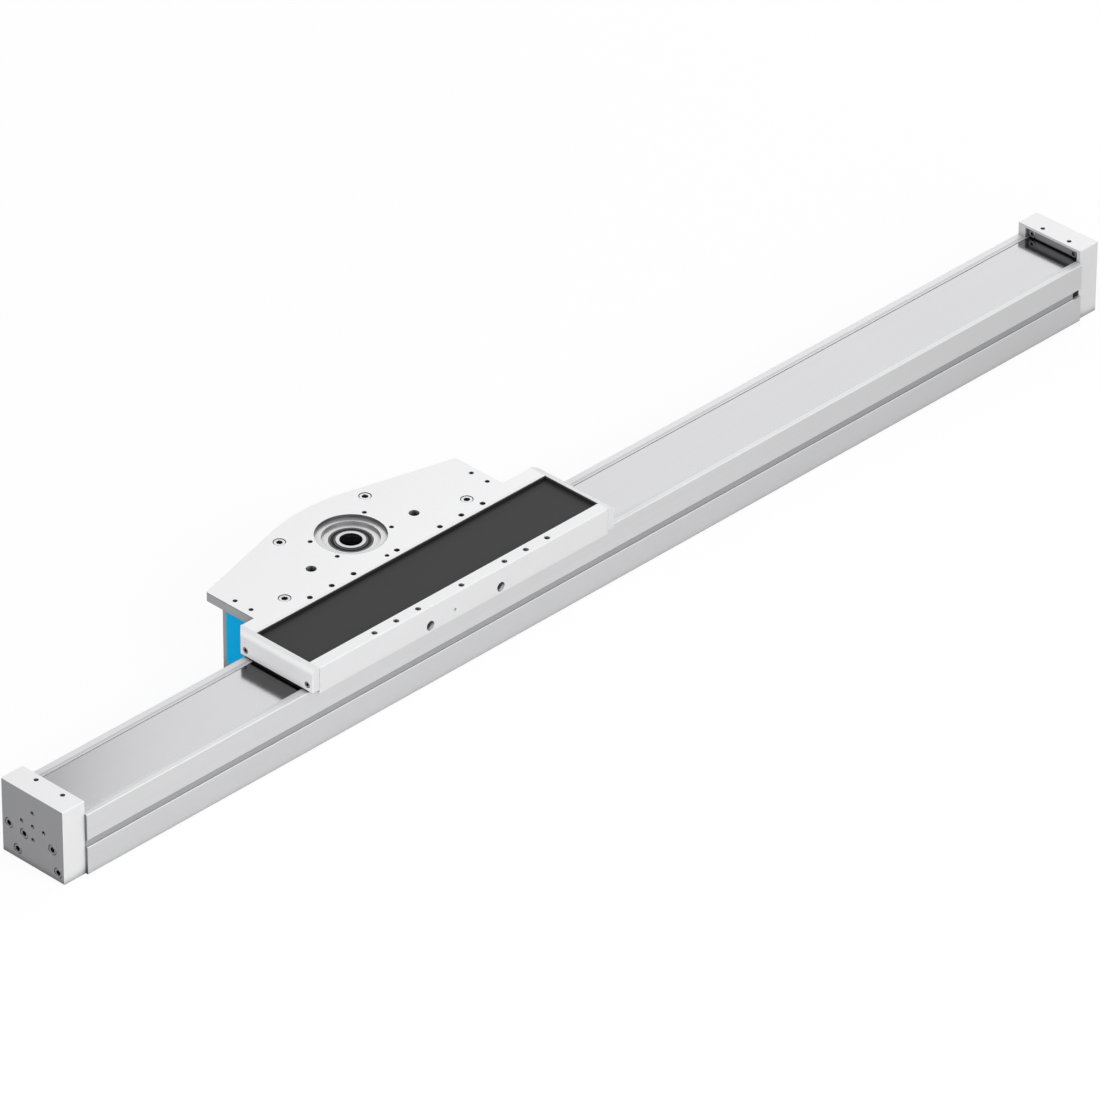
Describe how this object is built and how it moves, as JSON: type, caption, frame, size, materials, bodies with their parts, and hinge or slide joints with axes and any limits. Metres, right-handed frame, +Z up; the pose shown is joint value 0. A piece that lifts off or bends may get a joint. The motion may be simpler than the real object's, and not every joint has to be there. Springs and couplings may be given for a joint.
{
  "type": "cantilever linear axis",
  "caption": "Belt-driven cantilever linear axis: a long covered aluminium profile with end caps slides through a still drive head with a motor flange, hub bore and fastening holes.",
  "frame": {"origin": "centre of the motor flange on the head's top face, on the pulley's axis", "axes": "+X along the profile, towards the end with the open slot; +Z up, out of the motor flange; +Y away from the profile, towards the crown of the drive plate"},
  "size_m": [1.206, 0.175, 0.079],
  "materials": {
    "profile": "fine satin, natural anodised",
    "slot_cover": "matt grey",
    "rail_steel": "ground",
    "runner_plastic": "matt black",
    "screws": "zinc plated",
    "plugs": "matt dark grey",
    "strip_steel": "fine satin, rolled",
    "belt": "matt dark grey polyurethane",
    "end_caps": "fine matt, natural anodised",
    "clamps": "milled",
    "head_body": "fine matt, natural anodised",
    "cover_plate": "matt dark grey",
    "end_covers": "fine matt, natural anodised",
    "wipers": "matt black",
    "strip_guides": "matt black, self-lubricating",
    "drive_metal": "fine matt, natural anodised",
    "guards": "satin blue",
    "bearing_steel": "polished ring",
    "seals": "matt black",
    "pulley_steel": "turned",
    "idler_steel": "ground"
  },
  "bodies": {
    "head": {"carriage_body": "head_body", "cover_plate": "cover_plate", "end_cover_left": "end_covers", "end_cover_right": "end_covers", "end_cover_screws": "screws", "wiper_left": "wipers", "wiper_right": "wipers", "strip_guide_left": "strip_guides", "strip_guide_right": "strip_guides", "front_plugs": "plugs", "runner_block_left": "rail_steel", "runner_block_right": "rail_steel", "runner_end_plates": "runner_plastic", "runner_screws": "screws", "tie_screws": "screws", "drive_plate_top": "drive_metal", "drive_plate_bottom": "drive_metal", "drive_housing": "drive_metal", "belt_guard_left": "guards", "belt_guard_right": "guards", "plate_screws_top": "screws", "plate_screws_bottom": "screws", "bearing_outer_upper": "bearing_steel", "bearing_outer_lower": "bearing_steel", "bearing_seals": "seals", "idler_axle_left": "idler_steel", "idler_axle_right": "idler_steel"},
    "profile": {"profile_extrusion": "profile", "slot_cover": "slot_cover", "guide_rail": "rail_steel", "rail_screws": "screws", "cover_strip": "strip_steel", "toothed_belt": "belt", "end_cap_left": "end_caps", "end_cap_right": "end_caps", "strip_clamp_left": "clamps", "strip_clamp_right": "clamps", "strip_clamp_screws_left": "screws", "strip_clamp_screws_right": "screws", "cap_screws_left": "screws", "cap_screws_right": "screws", "belt_clamp_left": "clamps", "belt_clamp_right": "clamps", "tension_screws": "screws"},
    "pulley": {"drive_pulley": "pulley_steel", "pulley_flanges": "pulley_steel", "bearing_inner_upper": "bearing_steel", "bearing_inner_lower": "bearing_steel"},
    "idler_left": {"idler_roller_left": "idler_steel", "idler_bearings_left": "bearing_steel"},
    "idler_right": {"idler_roller_right": "idler_steel", "idler_bearings_right": "bearing_steel"}
  },
  "joints": [
    {"name": "profile_slide", "type": "slide", "parent": "head", "child": "profile", "axis": [1, 0, 0], "range_m": [-0.569, 0.231], "deforming": ["cover_strip", "toothed_belt"]},
    {"name": "pulley_turn", "type": "hinge", "parent": "head", "child": "pulley", "pos_m": [0, 0, 0], "axis": [0, 0, 1], "range_deg": [-700, 1710]},
    {"name": "idler_left_turn", "type": "hinge", "parent": "head", "child": "idler_left", "pos_m": [-0.031, -0.0293, 0], "axis": [0, 0, 1], "range_deg": [-2215, 905]},
    {"name": "idler_right_turn", "type": "hinge", "parent": "head", "child": "idler_right", "pos_m": [0.031, -0.0293, 0], "axis": [0, 0, 1], "range_deg": [-2215, 905]}
  ],
  "couplings": [
    {"joint": "pulley_turn", "follows": "profile_slide", "rad_per_m": -52.36},
    {"joint": "idler_left_turn", "follows": "profile_slide", "rad_per_m": 67.797},
    {"joint": "idler_right_turn", "follows": "profile_slide", "rad_per_m": 67.797}
  ]
}
